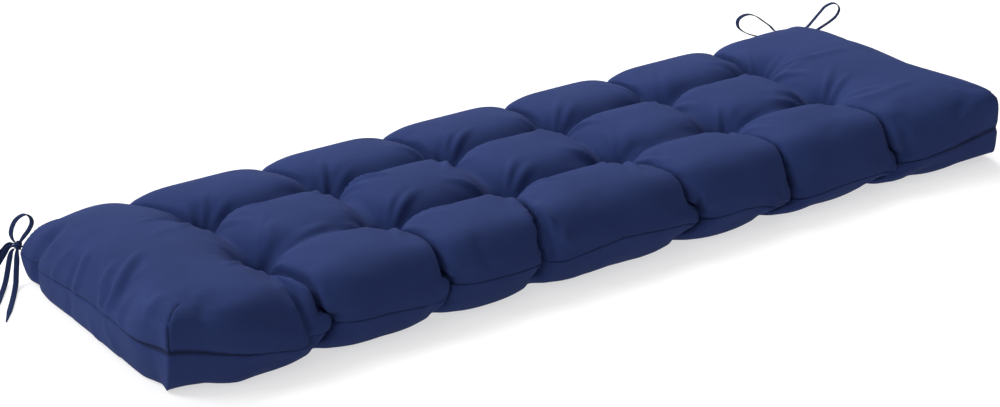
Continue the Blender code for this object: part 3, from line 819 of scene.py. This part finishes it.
def map_cloth(data, share):
    """A UV map in metres of cloth, and a mask of the seam and the darts, where shade is painted
    into the colour.
    """
    x, y, _ = panel_plan(share, TOP_PROFILE)
    up = share[:, 2] * SIDE_CLOTH
    corners = np.empty(len(data.loops), np.int32)
    data.loops.foreach_get("vertex_index", corners)
    faces = np.abs(share[corners].reshape(-1, 4, 3)).min(axis=1)
    on_end = np.repeat(faces[:, 0] > ON_FACE, 4)
    on_top = np.repeat(faces[:, 2] > ON_FACE, 4)
    across = np.where(on_end, y[corners], x[corners])
    along = np.where(on_top, y[corners], up[corners])
    cloth_map = data.uv_layers.new(name="cloth")
    cloth_map.uv.foreach_set("vector", np.stack([across, along], axis=1).astype(np.float32).ravel())
    # mask of the seam and the darts, for the shade painted into the colour there
    seam_shade_mask = data.attributes.new("seam_shade", "FLOAT", "POINT")
    seam_shade_mask.data.foreach_set("value", stitched(share).astype(np.float32))
    data.attributes.remove(data.attributes["share"])


def build_cushion():
    """The cushion's cover, blown up and resting on the floor."""
    data = cut_cover()
    share = read_points(data)
    write_points(data.vertices, blow_up(*lay_cover(share)))
    data, share = smooth_cover(data, share)
    points = sew(read_points(data), read_normals(data), share)
    points[:, 2] = np.maximum(points[:, 2], 0.0)
    write_points(data.vertices, points)
    map_cloth(data, share)
    data.update()
    data.shade_smooth()
    data.materials.append(cloth_material("navy_cloth", CUSHION_COLOUR, "seam_shade"))
    cushion = bpy.data.objects.new("cushion_padded", data)
    bpy.context.scene.collection.objects.link(cushion)
    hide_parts("cushion")
    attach(cushion, "root")


def add_node(tree, kind, **settings):
    """A node with its properties and its unlinked inputs set."""
    node = tree.nodes.new(kind)
    for name, value in settings.items():
        if hasattr(node, name):
            setattr(node, name, value)
        else:
            node.inputs[name.replace("_", " ")].default_value = value
    return node


def cloth_material(name, colour, seam_shade_attribute=None):
    """Plain-woven matt cloth on a UV map in metres, darker along the seam and the darts as painted
    shade in their grooves.
    """
    material = bpy.data.materials.new(name)
    material.use_nodes = True
    tree = material.node_tree
    link = tree.links.new
    shader = tree.nodes["Principled BSDF"]
    for socket, value in CLOTH_FINISH.items():
        shader.inputs[socket].default_value = value

    place = add_node(tree, "ShaderNodeUVMap", uv_map="cloth")
    split = add_node(tree, "ShaderNodeSeparateXYZ")
    link(place.outputs["UV"], split.inputs[0])
    threads = []
    for axis in ("X", "Y"):
        turns = add_node(tree, "ShaderNodeMath", operation="MULTIPLY")
        turns.inputs[1].default_value = 2 * math.pi / THREAD_PITCH
        wave = add_node(tree, "ShaderNodeMath", operation="SINE")
        link(split.outputs[axis], turns.inputs[0])
        link(turns.outputs[0], wave.inputs[0])
        threads.append(wave)
    weave = add_node(tree, "ShaderNodeMath", operation="MULTIPLY")
    link(threads[0].outputs[0], weave.inputs[0])
    link(threads[1].outputs[0], weave.inputs[1])

    slub = add_node(tree, "ShaderNodeTexNoise", Scale=9.0, Detail=4.0, Roughness=0.6)
    link(place.outputs["UV"], slub.inputs["Vector"])
    shade = add_node(tree, "ShaderNodeMapRange", From_Min=0.3, From_Max=0.7)
    shade.inputs["To Min"].default_value, shade.inputs["To Max"].default_value = SLUB_TONES
    link(slub.outputs["Fac"], shade.inputs["Value"])
    tone = add_node(tree, "ShaderNodeVectorMath", operation="SCALE")
    tone.inputs[0].default_value = colour
    link(shade.outputs["Result"], tone.inputs["Scale"])
    paint = tone
    # painted shade: darken the colour along the seam and the darts, where their grooves are shaded
    if seam_shade_attribute:
        near = add_node(tree, "ShaderNodeAttribute", attribute_name=seam_shade_attribute)
        line = add_node(tree, "ShaderNodeMapRange", From_Min=0.35, From_Max=0.9)
        line.inputs["To Min"].default_value = 1.0
        line.inputs["To Max"].default_value = SEAM_SHADE_TONE
        link(near.outputs["Fac"], line.inputs["Value"])
        paint = add_node(tree, "ShaderNodeVectorMath", operation="SCALE")
        link(tone.outputs[0], paint.inputs[0])
        link(line.outputs["Result"], paint.inputs["Scale"])
    link(paint.outputs[0], shader.inputs["Base Color"])

    relief = add_node(tree, "ShaderNodeBump", Strength=WEAVE_STRENGTH, Distance=WEAVE_RELIEF)
    link(weave.outputs[0], relief.inputs["Height"])
    link(relief.outputs["Normal"], shader.inputs["Normal"])
    return material


def smooth_route(points):
    """Points a step apart on one smooth curve through the route's own points."""
    ends = [2 * points[0] - points[1]] + points + [2 * points[-1] - points[-2]]
    smooth = []
    for before, start, end, after in zip(ends, points, points[1:], ends[3:]):
        count = max(2, round((end - start).length / STRIP_STEP) + 1)
        leave = start + (end - before) / 6
        arrive = end - (after - start) / 6
        smooth += interpolate_bezier(start, leave, arrive, end, count)[:-1]
    return smooth + [points[-1]]


def knot_distance(section, knot):
    """Distance from a knot's centre to the nearest point across a strip's section."""
    point, across = section
    share = (knot - point).dot(across) / across.length_squared
    return (point + across * max(-1.0, min(1.0, share)) - knot).length


def clear_of_knot(sections, knot):
    """A strip's sections from where its full width, not yet narrowed, leaves the knot."""
    reach = KNOT_RADIUS - KNOT_SINK
    first = next(i for i, section in enumerate(sections) if knot_distance(section, knot) > reach)
    inside, outside = sections[first - 1], sections[first]
    near, far = knot_distance(inside, knot), knot_distance(outside, knot)
    share = (reach - near) / (far - near)
    start = (inside[0].lerp(outside[0], share), inside[1].lerp(outside[1], share))
    return [start] + sections[first + (share > 0.5):]


def strip_sections(points, width_axis):
    """Each point of a route with half the strip's width there."""
    sections = []
    for before, point, after in zip(points[:1] + points, points, points[1:] + points[-1:]):
        across = Vector(width_axis) if width_axis else (after - before).cross(Vector((0, 0, 1)))
        sections.append((point, across.normalized() * STRIP_WIDTH / 2))
    return sections


def gathered(sections, is_loop):
    """A strip's sections, narrower towards its knot and its free end."""
    runs = [0.0]
    for (before, _), (point, _) in zip(sections, sections[1:]):
        runs.append(runs[-1] + (point - before).length)
    narrowed = []
    for (point, across), run in zip(sections, runs):
        far_width, far_reach = KNOT_GATHER if is_loop else END_GATHER
        near = np.interp(run, (0.0, KNOT_GATHER[1]), (KNOT_GATHER[0], 1.0))
        far = np.interp(runs[-1] - run, (0.0, far_reach), (far_width, 1.0))
        narrowed.append((point, across * float(min(near, far))))
    return narrowed


def pull_strip(name, sections):
    """A strip's mesh, one edge pulled along its sections, and how long the strip is."""
    mesh = bmesh.new()
    run_layer = mesh.verts.layers.float.new("run")
    point, across = sections[0]
    ends = (mesh.verts.new(point - across), mesh.verts.new(point + across))
    edge = mesh.edges.new(ends)
    run = 0.0
    for before, (point, across) in zip(sections, sections[1:]):
        left = ends[0]
        run += (point - before[0]).length
        pulled = bmesh.ops.extrude_edge_only(mesh, edges=[edge])["geom"]
        edge = next(item for item in pulled if isinstance(item, bmesh.types.BMEdge))
        ends = sorted(edge.verts, key=lambda vertex: (vertex.co - left.co).length)
        for end, side in zip(ends, (-1, 1)):
            end.co = point + across * side
            end[run_layer] = run
    cloth_map = mesh.loops.layers.uv.new("cloth")
    for face in mesh.faces:
        middle = face.calc_center_median()
        for loop in face.loops:
            loop[cloth_map].uv = (loop.vert[run_layer], (loop.vert.co - middle).length)
    data = bpy.data.meshes.new(f"{name}_strip")
    mesh.to_mesh(data)
    mesh.free()
    data.shade_smooth()
    return data, run


def build_strip(name, corner, width_axis, is_loop, route, material):
    """A flat strip, thickened and rounded at its edges, with its path and its length."""
    knot = Vector(KNOTS[corner])
    points = [knot] + [Vector(point) for point in route]
    points = smooth_route(points + [knot] if is_loop else points)
    sections = clear_of_knot(strip_sections(points, width_axis), knot)
    if is_loop:
        sections = clear_of_knot(sections[::-1], knot)
    sections = gathered(sections, is_loop)
    data, length = pull_strip(name, sections)
    data.materials.append(material)
    strip = bpy.data.objects.new(f"{name}_strip", data)
    thickness = strip.modifiers.new("thickness", "SOLIDIFY")
    thickness.thickness = STRIP_THICKNESS
    thickness.offset = 0.0
    thickness.use_even_offset = True
    edges = strip.modifiers.new("edges", "BEVEL")
    edges.width = STRIP_ROUNDING
    edges.segments = 2
    edges.angle_limit = math.radians(40)
    bpy.context.scene.collection.objects.link(strip)
    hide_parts(name)
    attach(strip, "root")
    return strip, [tuple(point) for point, _ in sections], length


def build_knot(corner, material):
    """The gathered middle of a bow: a round lump with the turns of the strip round it."""
    mesh = bmesh.new()
    bmesh.ops.create_uvsphere(mesh, u_segments=48, v_segments=32, radius=KNOT_RADIUS)
    cloth_map = mesh.loops.layers.uv.new("cloth")
    for face in mesh.faces:
        for loop in face.loops:
            loop[cloth_map].uv = loop.vert.co.xz
    for vertex in mesh.verts:
        wrap = math.sin(vertex.co.normalized().dot(Vector(KNOT_TURNS)))
        vertex.co *= 1 + (wrap - 1) * KNOT_WRAPS / KNOT_RADIUS
    data = bpy.data.meshes.new(f"tie_{corner}_knot_wound")
    mesh.to_mesh(data)
    mesh.free()
    data.transform(Matrix.Translation(KNOTS[corner]))
    data.shade_smooth()
    data.materials.append(material)
    knot = bpy.data.objects.new(f"tie_{corner}_knot_wound", data)
    bpy.context.scene.collection.objects.link(knot)
    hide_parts(f"tie_{corner}_knot")
    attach(knot, "root")
    return knot


def build_ties():
    """Both bows: a knot each, with its loops and its free ends."""
    material = cloth_material("navy_strip", TIE_COLOUR)
    knots = {corner: build_knot(corner, material) for corner in KNOTS}
    for name, (corner, width_axis, is_loop, route) in STRIPS.items():
        strip, path, length = build_strip(name, corner, width_axis, is_loop, route, material)
        with_knot = [knots.pop(corner)] if corner in knots else []


def build_camera():
    """The camera at the photograph's place."""
    camera = bpy.data.objects.new("camera", bpy.data.cameras.new("camera"))
    camera.data.sensor_width = SENSOR_WIDTH
    camera.data.lens = FOCAL_PIXELS * SENSOR_WIDTH / IMAGE_WIDTH
    camera.location = CAMERA_PLACE
    camera.rotation_euler = Euler((math.radians(90 - CAMERA_PITCH), 0, math.radians(-CAMERA_YAW)))
    bpy.context.scene.collection.objects.link(camera)
    bpy.context.scene.camera = camera


def build_floor():
    """The plain pale floor, which glows a little so that shadows stay soft."""
    mesh = bmesh.new()
    bmesh.ops.create_grid(mesh, x_segments=1, y_segments=1, size=FLOOR_REACH)
    data = bpy.data.meshes.new("floor")
    mesh.to_mesh(data)
    mesh.free()
    floor = bpy.data.objects.new("floor", data)
    material = bpy.data.materials.new("floor_white")
    material.use_nodes = True
    shader = material.node_tree.nodes["Principled BSDF"]
    shader.inputs["Base Color"].default_value = FLOOR_COLOUR
    shader.inputs["Roughness"].default_value = 0.9
    shader.inputs["Emission Color"].default_value = (1, 1, 1, 1)
    shader.inputs["Emission Strength"].default_value = FLOOR_GLOW
    data.materials.append(material)
    bpy.context.scene.collection.objects.link(floor)


def key_light(name, place, size, power):
    """A square light at a place, turned to the cushion."""
    data = bpy.data.lights.new(name, "AREA")
    data.energy = power
    data.size = size
    light = bpy.data.objects.new(name, data)
    light.location = place
    aim = Vector(KEY_TARGET) - Vector(place)
    light.rotation_euler = aim.to_track_quat("-Z", "Y").to_euler()
    bpy.context.scene.collection.objects.link(light)


def build_lights():
    """Soft keys from behind, and a sky that is brighter on the left."""
    bpy.context.scene.view_settings.view_transform = "Standard"
    world = bpy.data.worlds.new("studio")
    world.use_nodes = True
    tree = world.node_tree
    sky = add_node(tree, "ShaderNodeTexCoord")
    facing = add_node(tree, "ShaderNodeVectorMath", operation="DOT_PRODUCT")
    facing.inputs[1].default_value = Vector(SKY_SIDE).normalized()
    tree.links.new(sky.outputs["Generated"], facing.inputs[0])
    level = add_node(tree, "ShaderNodeMapRange", From_Min=SKY_FACING[0], From_Max=SKY_FACING[1])
    level.inputs["To Min"].default_value, level.inputs["To Max"].default_value = SKY_LEVELS
    tree.links.new(facing.outputs["Value"], level.inputs["Value"])
    tree.links.new(level.outputs["Result"], tree.nodes["Background"].inputs["Strength"])
    tree.nodes["Background"].inputs["Color"].default_value = (1, 1, 1, 1)
    bpy.context.scene.world = world
    for number, (place, size, power) in enumerate(KEYS):
        key_light(f"key_{number}", place, size, power)


build_camera()
build_ties()
build_cushion()
build_floor()
build_lights()
